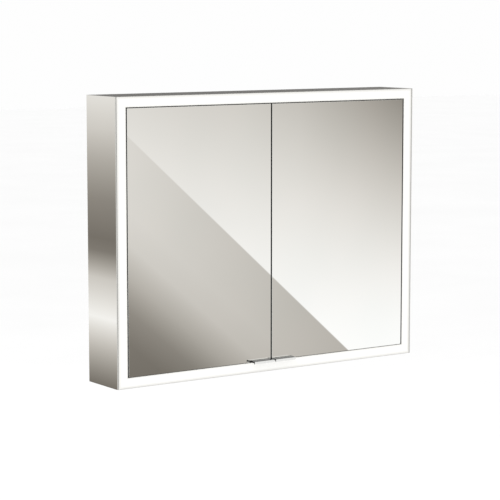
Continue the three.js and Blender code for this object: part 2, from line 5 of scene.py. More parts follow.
import bmesh
import bpy
import numpy as np
from mathutils import Euler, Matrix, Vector

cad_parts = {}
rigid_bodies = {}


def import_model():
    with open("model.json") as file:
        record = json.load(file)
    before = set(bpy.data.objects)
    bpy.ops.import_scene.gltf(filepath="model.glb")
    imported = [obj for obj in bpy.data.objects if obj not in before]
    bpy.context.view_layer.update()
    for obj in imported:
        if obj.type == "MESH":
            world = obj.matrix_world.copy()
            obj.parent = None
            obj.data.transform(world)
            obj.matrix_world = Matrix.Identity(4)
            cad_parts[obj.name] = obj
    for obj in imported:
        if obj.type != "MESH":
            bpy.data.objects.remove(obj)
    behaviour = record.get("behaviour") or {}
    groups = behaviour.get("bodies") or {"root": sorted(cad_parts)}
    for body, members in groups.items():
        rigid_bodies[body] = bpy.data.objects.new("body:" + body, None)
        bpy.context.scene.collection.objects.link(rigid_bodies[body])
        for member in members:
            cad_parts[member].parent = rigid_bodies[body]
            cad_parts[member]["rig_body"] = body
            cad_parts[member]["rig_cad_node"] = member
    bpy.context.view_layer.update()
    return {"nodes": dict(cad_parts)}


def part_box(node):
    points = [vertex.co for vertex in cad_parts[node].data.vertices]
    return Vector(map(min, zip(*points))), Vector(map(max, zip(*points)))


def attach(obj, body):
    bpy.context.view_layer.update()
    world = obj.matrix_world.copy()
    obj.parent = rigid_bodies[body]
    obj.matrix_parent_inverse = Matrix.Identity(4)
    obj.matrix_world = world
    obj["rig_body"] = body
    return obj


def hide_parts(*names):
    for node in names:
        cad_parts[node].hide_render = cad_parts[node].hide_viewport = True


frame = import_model()
nodes = frame["nodes"]
scene = bpy.context.scene
mm = 0.001

# ---- Camera -------------------------------------------------------------------------------
CAMERA_AT = (-2.7419, -4.0223, 0.5437)  # metres from the middle of the cabinet's back
CAMERA_TURN = math.radians(34.55)  # to the right of straight at the wall
CAMERA_TILT = math.radians(7.04)  # downwards
CAMERA_LENS = 137.8


def make_camera():
    data = bpy.data.cameras.new("camera")
    data.lens = CAMERA_LENS
    data.sensor_width = 36
    camera = bpy.data.objects.new("camera", data)
    camera.location = CAMERA_AT
    camera.rotation_euler = Euler((math.pi / 2 - CAMERA_TILT, 0, -CAMERA_TURN))
    scene.collection.objects.link(camera)
    scene.camera = camera


make_camera()
scene.view_settings.view_transform = "Standard"

# ---- Places read from the frame -----------------------------------------------------------
HANDS = {"left": -1, "right": 1}
LEVELS = ("upper", "lower")
SEAM = 0.3 * mm  # bond line or air between two pieces


def corners(node):
    """The lowest and highest corner of a CAD node, as two arrays."""
    low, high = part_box(node)
    return np.array(low), np.array(high)


# ---- Materials ----------------------------------------------------------------------------
def linear(hex_colour):
    """A linear colour with alpha 1 from an sRGB hex such as "#9a9893"."""
    srgb = np.array([int(hex_colour[i : i + 2], 16) for i in (1, 3, 5)]) / 255
    flat = np.where(srgb <= 0.04045, srgb / 12.92, ((srgb + 0.055) / 1.055) ** 2.4)
    return (*flat.tolist(), 1.0)


def add(material, kind, settings=None, **inputs):
    """Adds a node: settings are its own properties, and each input is a value or another node's
    socket. Spaces in an input's name are written as underscores, and a number picks by index."""
    tree = material.node_tree
    node = tree.nodes.new(kind)
    for key, value in (settings or {}).items():
        setattr(node, key, value)
    for key, value in inputs.items():
        name = key.replace("_", " ")
        socket = node.inputs[int(key[1:])] if key[1:].isdigit() else node.inputs[name]
        if isinstance(value, bpy.types.NodeSocket):
            tree.links.new(value, socket)
        else:
            socket.default_value = value
    return node


def new_material(name):
    """An empty node material with a Principled shader on its output, and that shader."""
    material = bpy.data.materials.new(name)
    material.use_nodes = True
    material.node_tree.nodes.clear()
    shader = add(material, "ShaderNodeBsdfPrincipled")
    add(material, "ShaderNodeOutputMaterial", Surface=shader.outputs["BSDF"])
    return material, shader


def link(material, socket_from, socket_to):
    material.node_tree.links.new(socket_from, socket_to)


def place_of(material, scale=(1, 1, 1)):
    """Object coordinates in metres, times a scale on each axis."""
    coordinates = add(material, "ShaderNodeTexCoord")
    mapping = add(material, "ShaderNodeMapping", Vector=coordinates.outputs["Object"], Scale=scale)
    return mapping.outputs["Vector"]


def spots(material, size, detail=2.0, stretch=(1, 1, 1), roughness=0.5):
    """Noise from 0 to 1 whose features are about size metres, longer where stretch is under 1."""
    scale = tuple(s / size for s in stretch)
    vector = place_of(material, scale)
    noise = add(material, "ShaderNodeTexNoise", Vector=vector, Scale=1.0, Detail=detail, Roughness=roughness)
    return noise.outputs["Fac"]


def between(material, fac, low, high, from_low=0.3, from_high=0.7):
    """fac carried from one range to another, held at its ends."""
    made = add(
        material,
        "ShaderNodeMapRange",
        Value=fac,
        From_Min=from_low,
        From_Max=from_high,
        To_Min=low,
        To_Max=high,
    )
    return made.outputs["Result"]


def mixed(material, fac, first, second):
    """A colour between two, by fac."""
    made = add(material, "ShaderNodeMix", {"data_type": "RGBA"}, _0=fac, _6=first, _7=second)
    return made.outputs[2]


def bump(material, shader, height, distance, strength=1.0):
    made = add(material, "ShaderNodeBump", Height=height, Distance=distance, Strength=strength)
    link(material, made.outputs["Normal"], shader.inputs["Normal"])


def calculate(material, operation, first, second=0.0):
    return add(material, "ShaderNodeMath", {"operation": operation}, _0=first, _1=second).outputs[0]


def across_border(material, place):
    """How far a point lies outside the lit border's inner edge, in metres: the larger of its
    distances past that edge in X and in Z."""
    _, inner_side = corners("diffuser_left")
    inner_top, _ = corners("diffuser_top")
    past_x = calculate(material, "SUBTRACT", calculate(material, "ABSOLUTE", place["X"]), -inner_side[0])
    past_z = calculate(material, "SUBTRACT", calculate(material, "ABSOLUTE", place["Z"]), inner_top[2])
    return calculate(material, "MAXIMUM", past_x, past_z)


def anodised_aluminium():
    """Extruded, fine-etched and anodised titanium grey: an even, fairly dark satin that drifts
    slightly in tone over a hand's width, with a soft grain of about half a millimetre. The dyed
    oxide takes up light that grazes it. The front edges are cut again after anodising, so they and
    the first centimetre of the opening's inner faces are bright metal."""
    CUT_DEEP = 9 * mm
    INNER_FACE = 0.9 * mm  # from the diffuser's edge in to the opening
    material, shader = new_material("anodised_aluminium_6063")
    shader.inputs["Metallic"].default_value = 1.0
    shader.inputs["Specular Tint"].default_value = linear("#c4c3c1")
    grain = spots(material, 0.6 * mm, detail=3)
    cloud = spots(material, 60 * mm, detail=2)
    oxide = mixed(material, between(material, cloud, 0, 1), linear("#5c5a57"), linear("#63615e"))
    place = add(material, "ShaderNodeSeparateXYZ", Vector=place_of(material)).outputs
    front = corners("diffuser_top")[0][1] + CUT_DEEP
    cut = between(material, place["Y"], 1, 0, front - 0.1 * mm, front)
    width = corners("diffuser_left")[1][0] - corners("frame_profile_left")[0][0]
    across = across_border(material, place)
    not_outside = between(material, across, 1, 0, width - 0.2 * mm, width - 0.1 * mm)
    not_door = between(material, across, 0, 1, -INNER_FACE - 0.3 * mm, -INNER_FACE - 0.1 * mm)
    face = calculate(material, "MULTIPLY", not_outside, not_door)
    bright = calculate(material, "MULTIPLY", cut, face)
    link(material, mixed(material, bright, oxide, linear("#efeeeb")), shader.inputs["Base Color"])
    link(material, between(material, grain, 0.3, 0.42), shader.inputs["Roughness"])
    bump(material, shader, grain, 0.01 * mm)
    return material


def silvered_glass():
    """Float glass silvered behind: an almost perfect mirror, with a trace of green in the glass
    and waves too long and shallow to see except as a slight drift of the reflection."""
    material, shader = new_material("silvered_float_glass")
    shader.inputs["Metallic"].default_value = 1.0
    cloud = spots(material, 180 * mm, detail=1)
    tint = mixed(material, between(material, cloud, 0, 1), linear("#f2f3f1"), linear("#f5f5f3"))
    link(material, tint, shader.inputs["Base Color"])
    shader.inputs["Roughness"].default_value = 0.0
    return material


def ground_edge_gap_shade():
    """The ground edge of the mirror glass, sealed with dark lacquer against damp: nearly black and
    matt, with fine grinding lines. The near-black is also painted shade, for the narrow gaps round the doors."""
    material, shader = new_material("ground_glass_edge_gap_shade")
    lines = spots(material, 0.8 * mm, detail=2)
    # painted shade: the near-black edge colour stands in for the shade inside the gaps round the doors
    colour = mixed(material, between(material, lines, 0, 1), linear("#121413"), linear("#1b1e1c"))
    link(material, colour, shader.inputs["Base Color"])
    link(material, between(material, lines, 0.5, 0.65), shader.inputs["Roughness"])
    shader.inputs["Specular IOR Level"].default_value = 0.25
    bump(material, shader, lines, 0.01 * mm)
    return material


def polished_arris():
    """The small polished chamfer of a mirror's edge: clear glass over silver, a thin bright line."""
    material, shader = new_material("polished_glass_arris")
    lines = spots(material, 0.8 * mm, detail=2)
    colour = mixed(material, between(material, lines, 0, 1), linear("#dfe4e1"), linear("#eef1ee"))
    link(material, colour, shader.inputs["Base Color"])
    shader.inputs["Metallic"].default_value = 0.8
    link(material, between(material, lines, 0.08, 0.18), shader.inputs["Roughness"])
    return material


def side_edge_painted_glow():
    """The polished edge of the side glass: a dull grey over the backing paint, with painted light
    along the front: a lighter colour there stands in for the lit border's glow in the clear glass."""
    PAINTED_GLOW_DEEP = 2 * mm
    material, shader = new_material("polished_side_edge_painted_glow")
    lines = spots(material, 0.8 * mm, detail=2)
    dull = mixed(material, between(material, lines, 0, 1), linear("#6f6e6b"), linear("#797875"))
    place = add(material, "ShaderNodeSeparateXYZ", Vector=place_of(material)).outputs
    front = corners("side_mirror_left")[0][1]
    # painted light: the band along the front edge is lightened to stand for the border's glow
    near = between(material, place["Y"], 1, 0, front + PAINTED_GLOW_DEEP / 2, front + PAINTED_GLOW_DEEP)
    colour = mixed(material, near, dull, linear("#bab9b5"))
    link(material, colour, shader.inputs["Base Color"])
    link(material, between(material, lines, 0.15, 0.3), shader.inputs["Roughness"])
    shader.inputs["IOR"].default_value = 1.52
    return material


def opal_acrylic():
    """Extruded opal acrylic, lit from behind: an even white glow, a little weaker between the
    chips, under a satin skin. It fades over the last millimetres, where the metal shades it."""
    FADE_INSIDE, FADE_OUTSIDE = 3 * mm, 6 * mm
    material, shader = new_material("opal_acrylic_lit")
    shader.inputs["Base Color"].default_value = linear("#9a9996")
    shader.inputs["IOR"].default_value = 1.49
    place = add(material, "ShaderNodeSeparateXYZ", Vector=place_of(material)).outputs
    across = across_border(material, place)
    low, high = corners("diffuser_left")
    width = high[0] - low[0]
    inside = between(material, across, 0.5, 1, 0, FADE_INSIDE)
    outside = between(material, across, 1, 0, width - FADE_OUTSIDE, width)
    cloud = between(material, spots(material, 45 * mm, detail=1), 0.94, 1)
    even = calculate(material, "MULTIPLY", inside, outside)
    glow = mixed(material, calculate(material, "MULTIPLY", even, cloud), linear("#d8d7d3"), linear("#fdfdfb"))
    link(material, glow, shader.inputs["Emission Color"])
    shader.inputs["Emission Strength"].default_value = 0.68
    skin = spots(material, 0.5 * mm, detail=2)
    link(material, between(material, skin, 0.38, 0.5), shader.inputs["Roughness"])
    return material


def zinc_plated_steel():
    """Cold-rolled steel, zinc plated: blue-grey crystals a few millimetres across, and fine pits."""
    material, shader = new_material("zinc_plated_steel")
    shader.inputs["Metallic"].default_value = 1.0
    crystals = add(material, "ShaderNodeTexVoronoi", Vector=place_of(material, (1 / (5 * mm),) * 3))
    fac = crystals.outputs["Distance"]
    colour = mixed(material, between(material, fac, 0, 1, 0, 0.9), linear("#a9adae"), linear("#bfc3c4"))
    link(material, colour, shader.inputs["Base Color"])
    link(material, between(material, fac, 0.3, 0.44, 0, 0.9), shader.inputs["Roughness"])
    bump(material, shader, spots(material, 0.7 * mm), 0.01 * mm)
    return material


def nickel_plated_steel():
    """Stamped steel with satin nickel: warm grey, with short brushing marks."""
    material, shader = new_material("satin_nickel_plated_steel")
    shader.inputs["Metallic"].default_value = 1.0
    marks = spots(material, 0.5 * mm, stretch=(1, 1, 0.06))
    colour = mixed(material, between(material, marks, 0, 1), linear("#b3afa8"), linear("#c6c2bb"))
    link(material, colour, shader.inputs["Base Color"])
    link(material, between(material, marks, 0.2, 0.32), shader.inputs["Roughness"])
    bump(material, shader, marks, 0.01 * mm)
    return material


def chrome_plate():
    """Bright chromium over polished steel: a sharp reflection with a trace of polishing haze."""
    material, shader = new_material("bright_chrome_plate")
    shader.inputs["Metallic"].default_value = 1.0
    haze = spots(material, 4 * mm, detail=3)
    colour = mixed(material, between(material, haze, 0, 1), linear("#dededc"), linear("#e8e8e6"))
    link(material, colour, shader.inputs["Base Color"])
    link(material, between(material, haze, 0.05, 0.11), shader.inputs["Roughness"])
    return material


def handle_end_painted_shade():
    """The sawn end of the handle's bar: near-black metal, painted shade for the shadow below the bar and the
    dark that its ends reflect.
    """
    material, shader = new_material("sawn_end_painted_shade")
    shader.inputs["Metallic"].default_value = 1.0
    marks = spots(material, 0.4 * mm, stretch=(1, 1, 0.2))
    # painted shade: near-black colour for the shadow and dark reflections at the handle's ends
    colour = mixed(material, between(material, marks, 0, 1), linear("#0c0c0c"), linear("#181818"))
    link(material, colour, shader.inputs["Base Color"])
    link(material, between(material, marks, 0.3, 0.45), shader.inputs["Roughness"])
    return material


def shelf_glass():
    """Toughened float glass: clear, with the green of its iron in the depth of the edge."""
    material, shader = new_material("toughened_float_glass")
    shader.inputs["Base Color"].default_value = linear("#eef6f2")
    shader.inputs["Transmission Weight"].default_value = 1.0
    shader.inputs["IOR"].default_value = 1.52
    wave = spots(material, 30 * mm)
    link(material, between(material, wave, 0.0, 0.015), shader.inputs["Roughness"])
    return material


def shelf_edge():
    """The pencil-polished edge of the shelf, where the glass looks green."""
    material, shader = new_material("pencil_polished_edge")
    lines = spots(material, 1.5 * mm, stretch=(0.1, 1, 1))
    colour = mixed(material, between(material, lines, 0, 1), linear("#8fb7a6"), linear("#a9cbbd"))
    link(material, colour, shader.inputs["Base Color"])
    shader.inputs["Transmission Weight"].default_value = 0.4
    shader.inputs["IOR"].default_value = 1.52
    link(material, between(material, lines, 0.05, 0.14), shader.inputs["Roughness"])
    return material


def moulded(name, dark, light, roughness, grain, skin):
    """A moulded plastic or rubber: a small drift of colour and a spark-eroded grain. grain is the
    size of the texture in metres and skin its depth."""
    material, shader = new_material(name)
    texture = spots(material, grain, detail=3)
    drift = spots(material, 25 * mm)
    colour = mixed(material, between(material, drift, 0, 1), linear(dark), linear(light))
    link(material, colour, shader.inputs["Base Color"])
    link(material, between(material, texture, roughness - 0.06, roughness + 0.06), shader.inputs["Roughness"])
    bump(material, shader, texture, skin)
    return material


ALUMINIUM = anodised_aluminium()
MIRROR = silvered_glass()
DARK_EDGE_GAP_SHADE = ground_edge_gap_shade()
OPAL = opal_acrylic()
ZINC = zinc_plated_steel()
NICKEL = nickel_plated_steel()
CHROME = chrome_plate()
HANDLE_END_PAINTED_SHADE = handle_end_painted_shade()
ARRIS_GLASS = polished_arris()
SIDE_EDGE_PAINTED_GLOW = side_edge_painted_glow()
SHELF = shelf_glass()
SHELF_EDGE = shelf_edge()
RUBBER = moulded("moulded_epdm_rubber", "#171717", "#1f1f1e", 0.7, 0.6 * mm, 0.03 * mm)
GREY_ABS = moulded("moulded_grey_abs", "#b6b8b5", "#c1c3c0", 0.45, 0.5 * mm, 0.02 * mm)
WHITE_ABS = moulded("moulded_white_abs", "#e6e5df", "#efeee9", 0.4, 0.5 * mm, 0.02 * mm)
BOARD = moulded("white_solder_mask", "#e8e8e2", "#f2f2ee", 0.5, 0.4 * mm, 0.01 * mm)
SHEATH = moulded("pvc_lead_sheath", "#dcdad3", "#e6e4de", 0.5, 0.8 * mm, 0.02 * mm)

CAD_MATERIALS = {
    "frame_profile": ALUMINIUM,
    "door_core": ALUMINIUM,
    "shelf_rail": ALUMINIUM,
    "diffuser": OPAL,
    "led_strip": BOARD,
    "corner_key": ZINC,
    "back_cover": ZINC,
    "hanging_rail": ZINC,
    "wall_rail": ZINC,
    "hinge_leaf": NICKEL,
    "hinge_bracket": NICKEL,
    "hinge_pin": CHROME,
    "shelf_support": CHROME,
    "door_handle": CHROME,
    "door_catch": RUBBER,
    "cable_grommet": RUBBER,
    "led_driver": GREY_ABS,
    "switch_housing": GREY_ABS,
    "switch_button": WHITE_ABS,
    "terminal_block": WHITE_ABS,
    "mains_lead": SHEATH,
    "led_lead": SHEATH,
    "side_mirror": MIRROR,
    "back_mirror": MIRROR,
    "door_mirror": MIRROR,
    "door_rear_mirror": MIRROR,
    "shelf_upper": SHELF,
    "shelf_lower": SHELF,
}


def cad_material(node):
    """The material of a CAD node, by the longest name that its own name starts with."""
    return CAD_MATERIALS[max((n for n in CAD_MATERIALS if node.startswith(n)), key=len)]


for name, node in nodes.items():
    for material_slot in node.material_slots:
        material_slot.material = cad_material(name)

# ---- Meshes -------------------------------------------------------------------------------
def piece(name, points, faces, materials, body, replaced=(), face_material=None, smooth=False):
    """A closed mesh with its faces turned outwards, riding on a body. face_material holds the
    number of each face's material."""
    data = bpy.data.meshes.new(name)
    data.from_pydata(np.asarray(points).tolist(), [], faces)
    for material in materials:
        data.materials.append(material)
    if face_material is not None:
        data.polygons.foreach_set("material_index", np.asarray(face_material, dtype=np.int32))
    data.polygons.foreach_set("use_smooth", np.full(len(faces), smooth))
    work = bmesh.new()
    work.from_mesh(data)
    bmesh.ops.recalc_face_normals(work, faces=work.faces)
    work.to_mesh(data)
    work.free()
    made = bpy.data.objects.new(name, data)
    scene.collection.objects.link(made)
    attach(made, body)
    if replaced:
        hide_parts(*replaced)
    return made


def bands(rings, around):
    """The four-sided faces between rings of points that are stored one after another, each with
    the same number of points around."""
    ring = np.arange(rings - 1)[:, None] * around
    step = np.arange(around)[None, :]
    after = (step + 1) % around
    quads = np.stack([ring + step, ring + after, ring + around + after, ring + around + step], axis=-1)
    return quads.reshape(-1, 4).tolist()


def inset(outline, distance):
    """The outline moved inwards by a distance: each point goes along the mean of its two edges'
    normals, by the distance over the cosine of half their turn. The outline runs anticlockwise."""
    edge = np.roll(outline, -1, axis=0) - outline
    edge /= np.linalg.norm(edge, axis=1, keepdims=True)
    normal = np.stack([-edge[:, 1], edge[:, 0]], axis=1)
    mean = normal + np.roll(normal, 1, axis=0)
    mean /= np.linalg.norm(mean, axis=1, keepdims=True)
    cosine = np.sum(mean * normal, axis=1, keepdims=True)
    return outline + mean * distance / cosine


PLANES = {"x": (2, 0, 1), "y": (0, 2, 1), "z": (0, 1, 2)}


def slab(name, outline, low, high, axis, arris, materials, body, replaced):
    """A plate between two values on an axis, with a chamfer of arris all round both faces: four
    rings, of which the first and last are the outline moved in by arris. The materials are those of
    the two faces, the chamfers and the rim. The outline holds the other two coordinates, in order."""
    small = inset(outline, arris)
    depths = (low, low + arris, high - arris, high)
    rings = [
        np.column_stack([ring, np.full(len(ring), depth)])
        for ring, depth in zip((small, outline, outline, small), depths)
    ]
    points = np.concatenate(rings)[:, PLANES[axis]]
    around = len(outline)
    faces = [list(range(around)), list(range(3 * around, 4 * around)), *bands(4, around)]
    face_material = [0, 0] + [1] * around + [2] * around + [1] * around
    return piece(name, points, faces, materials, body, replaced, face_material)


def rectangle(low, high, corner=0.0, steps=6):
    """An anticlockwise rectangle between two corners, its own corners rounded by quarter circles."""
    if not corner:
        return np.array([(low[0], low[1]), (high[0], low[1]), (high[0], high[1]), (low[0], high[1])], float)
    turn = np.linspace(0, math.pi / 2, steps)
    arcs = []
    ends = ((high[0], high[1]), (low[0], high[1]), (low[0], low[1]), (high[0], low[1]))
    for quarter, (x, y) in enumerate(ends):
        angle = turn + quarter * math.pi / 2
        middle = angle.mean()
        centre = (x - math.copysign(corner, math.cos(middle)), y - math.copysign(corner, math.sin(middle)))
        arcs.append(np.column_stack([centre[0] + corner * np.cos(angle), centre[1] + corner * np.sin(angle)]))
    return np.concatenate(arcs)


def softened(node, width, material=None, angle=30):
    """A copy of a CAD node whose corners are rounded by width: its loose triangles are merged, flat
    ones are joined into one face, and a bevel of two steps is applied to the sharp edges."""
    source = nodes[node]
    made = source.copy()
    made.data = source.data.copy()
    made.name = node + "_soft"
    made.parent = None
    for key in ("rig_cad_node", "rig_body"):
        if key in made:
            del made[key]
    scene.collection.objects.link(made)
    work = bmesh.new()
    work.from_mesh(made.data)
    bmesh.ops.remove_doubles(work, verts=work.verts, dist=1e-6)
    bmesh.ops.dissolve_limit(work, angle_limit=math.radians(1), verts=work.verts, edges=work.edges)
    sharp = [e for e in work.edges if e.is_manifold and e.calc_face_angle() > math.radians(angle)]
    bmesh.ops.bevel(work, geom=sharp, offset=width, segments=2, affect="EDGES", clamp_overlap=True)
    work.to_mesh(made.data)
    work.free()
    made.data.materials.clear()
    made.data.materials.append(material or cad_material(node))
    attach(made, source["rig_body"])
    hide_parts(node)
    return made


# ---- Glass --------------------------------------------------------------------------------
ARRIS = 0.3 * mm  # polished chamfer of the mirror glass


def flat(low, high, axis):
    """The two coordinates of a box that lie across an axis, as the plane's own low and high."""
    keep = {"x": [1, 2], "y": [0, 2], "z": [0, 1]}[axis]
    return low[keep], high[keep]


def mirror_plate(name, node, axis, body, edges):
    """A rectangular mirror in the place of a CAD node; edges are its chamfers' and rim's material."""
    low, high = corners(node)
    index = "xyz".index(axis)
    outline = rectangle(*flat(low, high, axis))
    materials = (MIRROR, *edges)
    slab(name, outline, low[index], high[index], axis, ARRIS, materials, body, (node,))


def door_glass(hand):
    """The front mirror of a door: a rectangle with a low notch at its inner lower corner, as
    high as the bottom of the door's core, which clears the handle by SEAM at its side."""
    node = f"door_mirror_{hand}"
    low, high = corners(node)
    handle_low, handle_high = corners(f"door_handle_{hand}")
    right = HANDS[hand] > 0
    inner, outer = (low[0], high[0]) if right else (high[0], low[0])
    side = handle_high[0] + SEAM if right else handle_low[0] - SEAM
    top = corners(f"door_core_{hand}")[0][2]
    points = [(inner, top), (side, top), (side, low[2]), (outer, low[2]), (outer, high[2]), (inner, high[2])]
    outline = np.array(points if right else points[::-1])
    materials = (MIRROR, ARRIS_GLASS, DARK_EDGE_GAP_SHADE)
    name = f"door_glass_{hand}"
    slab(name, outline, low[1], high[1], "y", ARRIS, materials, f"door_{hand}", (node,))


def notched_mirror(hand):
    """The rear mirror of a door: a rectangle with a notch round each hinge, which clears the
    hinge's leaf by the bond line at its side and by NOTCH above and below."""
    NOTCH = 3 * mm
    low, high = corners(f"door_rear_mirror_{hand}")
    s = HANDS[hand]
    outer = high[0] if s > 0 else low[0]
    inner = low[0] if s > 0 else high[0]
    points = [(inner, low[2]), (outer, low[2])]
    for level in ("lower", "upper"):
        leaf_low, leaf_high = corners(f"hinge_leaf_{level}_{hand}")
        deep = (leaf_low[0] if s > 0 else leaf_high[0]) - s * SEAM
        bottom, top = leaf_low[2] - NOTCH, leaf_high[2] + NOTCH
        points += [(outer, bottom), (deep, bottom), (deep, top), (outer, top)]
    points += [(outer, high[2]), (inner, high[2])]
    outline = np.array(points if s > 0 else points[::-1])
    node = f"door_rear_mirror_{hand}"
    materials = (MIRROR, ARRIS_GLASS, DARK_EDGE_GAP_SHADE)
    name = f"door_inner_glass_{hand}"
    slab(name, outline, low[1], high[1], "y", 0.5 * mm, materials, f"door_{hand}", (node,))


def shelf_plate(level):
    """A shelf with rounded front and back corners and a pencil-polished edge."""
    node = f"shelf_{level}"
    low, high = corners(node)
    outline = rectangle(low[:2], high[:2], 6 * mm)
    materials = (SHELF, SHELF_EDGE, SHELF_EDGE)
    name = f"glass_shelf_{level}"
    slab(name, outline, low[2], high[2], "z", 1.2 * mm, materials, "cabinet", (node,))


for hand in HANDS:
    door_glass(hand)
    mirror_plate(f"side_glass_{hand}", f"side_mirror_{hand}", "x", "cabinet", (SIDE_EDGE_PAINTED_GLOW, SIDE_EDGE_PAINTED_GLOW))
    notched_mirror(hand)
mirror_plate("inner_back_glass", "back_mirror", "y", "cabinet", (ARRIS_GLASS, DARK_EDGE_GAP_SHADE))
for level in LEVELS:
    shelf_plate(level)

# ---- Handles ------------------------------------------------------------------------------
HANDLE_THICK = 4.5 * mm
HANDLE_FALL = 1.2 * mm  # of the bar's top, from the glass to its front edge
HANDLE_LEAN = 0.4 * mm  # of the bar's front face, whose foot is further back
LEG_THICK = 2.5 * mm
LIP_THICK = 3 * mm


def curve(start, middle, end, steps=12):
    """A quadratic curve from start to end that is drawn towards middle, without its start."""
    t = np.linspace(0, 1, steps + 1)[1:, None]
    return (1 - t) ** 2 * np.array(start) + 2 * t * (1 - t) * np.array(middle) + t**2 * np.array(end)


def handle_section(hand):
    """The bar's section in (y, z), anticlockwise from the lip's foot: back under the door, up and
    down its leg, and forward along a top that is flat at the glass and curves down to the front."""
    EDGE = 0.3 * mm
    EDGE_STEPS, TOP_STEPS = 4, 20
    low, high = corners(f"door_handle_{hand}")
    glass = corners(f"door_mirror_{hand}")[0][1]
    top = corners(f"door_core_{hand}")[0][2] - SEAM
    under, leg = top - HANDLE_THICK, high[1] - LEG_THICK
    lip = low[1] + LIP_THICK
    tip, tip_z = low[1], top - HANDLE_FALL
    foot = low[1] + HANDLE_LEAN
    edge = (tip + EDGE, tip_z)
    parts = [
        [(foot, low[2] + EDGE)],
        curve((foot, low[2] + EDGE), (foot, low[2]), (foot + EDGE, low[2]), EDGE_STEPS),
        [(lip, low[2]), (lip, under), (high[1], under), (high[1], high[2]), (leg, high[2]), (leg, top)],
        [(glass, top)],
        curve((glass, top), ((glass + tip) / 2, top), edge, TOP_STEPS),
        curve(edge, (tip, tip_z), (tip, tip_z - EDGE), EDGE_STEPS),
    ]
    return np.concatenate([np.atleast_2d(part) for part in parts])


def handle(hand):
    """The bar: its section drawn out over the handle's width. Its two cut ends are near-black with painted
    shade.
    """
    END_ARRIS = 0.1 * mm
    node = f"door_handle_{hand}"
    low, high = corners(node)
    # the cut ends' material paints shade as a near-black colour
    materials = (HANDLE_END_PAINTED_SHADE, HANDLE_END_PAINTED_SHADE, CHROME)
    name, body = f"handle_bar_{hand}", f"door_{hand}"
    slab(name, handle_section(hand), low[0], high[0], "x", END_ARRIS, materials, body, (node,))


for hand in HANDS:
    handle(hand)

# ---- Small metal and moulded pieces with their corners rounded ------------------------------
SOFTENED = {
    ("hinge_leaf", "hinge_bracket", "shelf_support", "shelf_rail", "hanging_rail", "wall_rail"): 0.3 * mm,
    ("door_catch", "switch_housing", "switch_button", "terminal_block", "led_driver"): 0.6 * mm,
    ("back_cover", "diffuser"): 0.2 * mm,
}
for starts, width in SOFTENED.items():
    for node in nodes:
        if node.startswith(starts):
            softened(node, width)


# ---- Turned pieces ------------------------------------------------------------------------
def turned(name, profile, centre, axis, material, body, replaced=(), steps=48):
    """A closed (radius, height) profile carried round an axis through centre. A profile that
    starts and ends on the axis has one point there."""
    profile = np.asarray(profile, float)
    angle = np.linspace(0, 2 * math.pi, steps, endpoint=False)
    closed = profile[0][0] > 0
    rings = profile if closed else profile[1:-1]
    across = np.multiply.outer(rings[:, 0], np.cos(angle)), np.multiply.outer(rings[:, 0], np.sin(angle))
    height = np.broadcast_to(rings[:, 1:], across[0].shape)
    points = np.stack([*across, height], axis=-1).reshape(-1, 3)
    faces = bands(len(rings), steps)
    last = len(points) - steps
    step = np.arange(steps)
    after = (step + 1) % steps
    if closed:
        faces += np.stack([last + step, last + after, after, step], axis=-1).tolist()
    else:
        poles = np.array([(0, 0, profile[0][1]), (0, 0, profile[-1][1])])
        low_pole, high_pole = len(points), len(points) + 1
        faces += [[low_pole, a, b] for a, b in zip(after.tolist(), step.tolist())]
        faces += [[high_pole, a, b] for a, b in zip((last + step).tolist(), (last + after).tolist())]
        points = np.concatenate([points, poles])
    points = points[:, {"y": (0, 2, 1), "z": (0, 1, 2)}[axis]] + np.asarray(centre)
    return piece(name, points, faces, (material,), body, replaced, smooth=True)


def rounded(profile, radius, closed=True):
    """A profile with each corner replaced by four points on a small curve."""
    profile = np.asarray(profile, float)
    before, after = np.roll(profile, 1, axis=0), np.roll(profile, -1, axis=0)
    made = []
    for i, (a, b, c) in enumerate(zip(before, profile, after)):
        if not closed and i in (0, len(profile) - 1):
            made.append(b[None])
            continue
        start = b + (a - b) / np.linalg.norm(a - b) * radius
        end = b + (c - b) / np.linalg.norm(c - b) * radius
        made.append(np.concatenate([start[None], curve(start, b, end, 3)]))
    return np.concatenate(made)


def grommet():
    """The rubber bush of the cable's hole: a neck in the sheet, a flange inside, a tapered snout."""
    BORE, NECK, SHEET, FLANGE = 4.5 * mm, 8.7 * mm, 1.8 * mm, 2 * mm
    low, high = corners("cable_grommet")
    radius = (high[0] - low[0]) / 2
    length = high[1] - low[1]
    profile = [
        (BORE, 0),
        (NECK, 0),
        (NECK, -SHEET),
        (radius, -SHEET),
        (radius, -SHEET - FLANGE),
        (NECK, -length),
        (BORE, -length),
    ]
    centre = ((low[0] + high[0]) / 2, high[1], (low[2] + high[2]) / 2)
    shape = rounded(profile, 0.4 * mm)
    turned("rubber_grommet", shape, centre, "y", RUBBER, "cabinet", ("cable_grommet",))


def hinge_pins():
    """Ground pins with rounded ends."""
    for hand in HANDS:
        for level in LEVELS:
            node = f"hinge_pin_{level}_{hand}"
            low, high = corners(node)
            radius = (high[0] - low[0]) / 2
            half = (high[2] - low[2]) / 2
            shape = rounded([(0, -half), (radius, -half), (radius, half), (0, half)], 0.5 * mm, closed=False)
            centre = (low + high) / 2
            name = f"turned_pin_{level}_{hand}"
            turned(name, shape, centre, "z", CHROME, "cabinet", (node,), 32)


grommet()
hinge_pins()


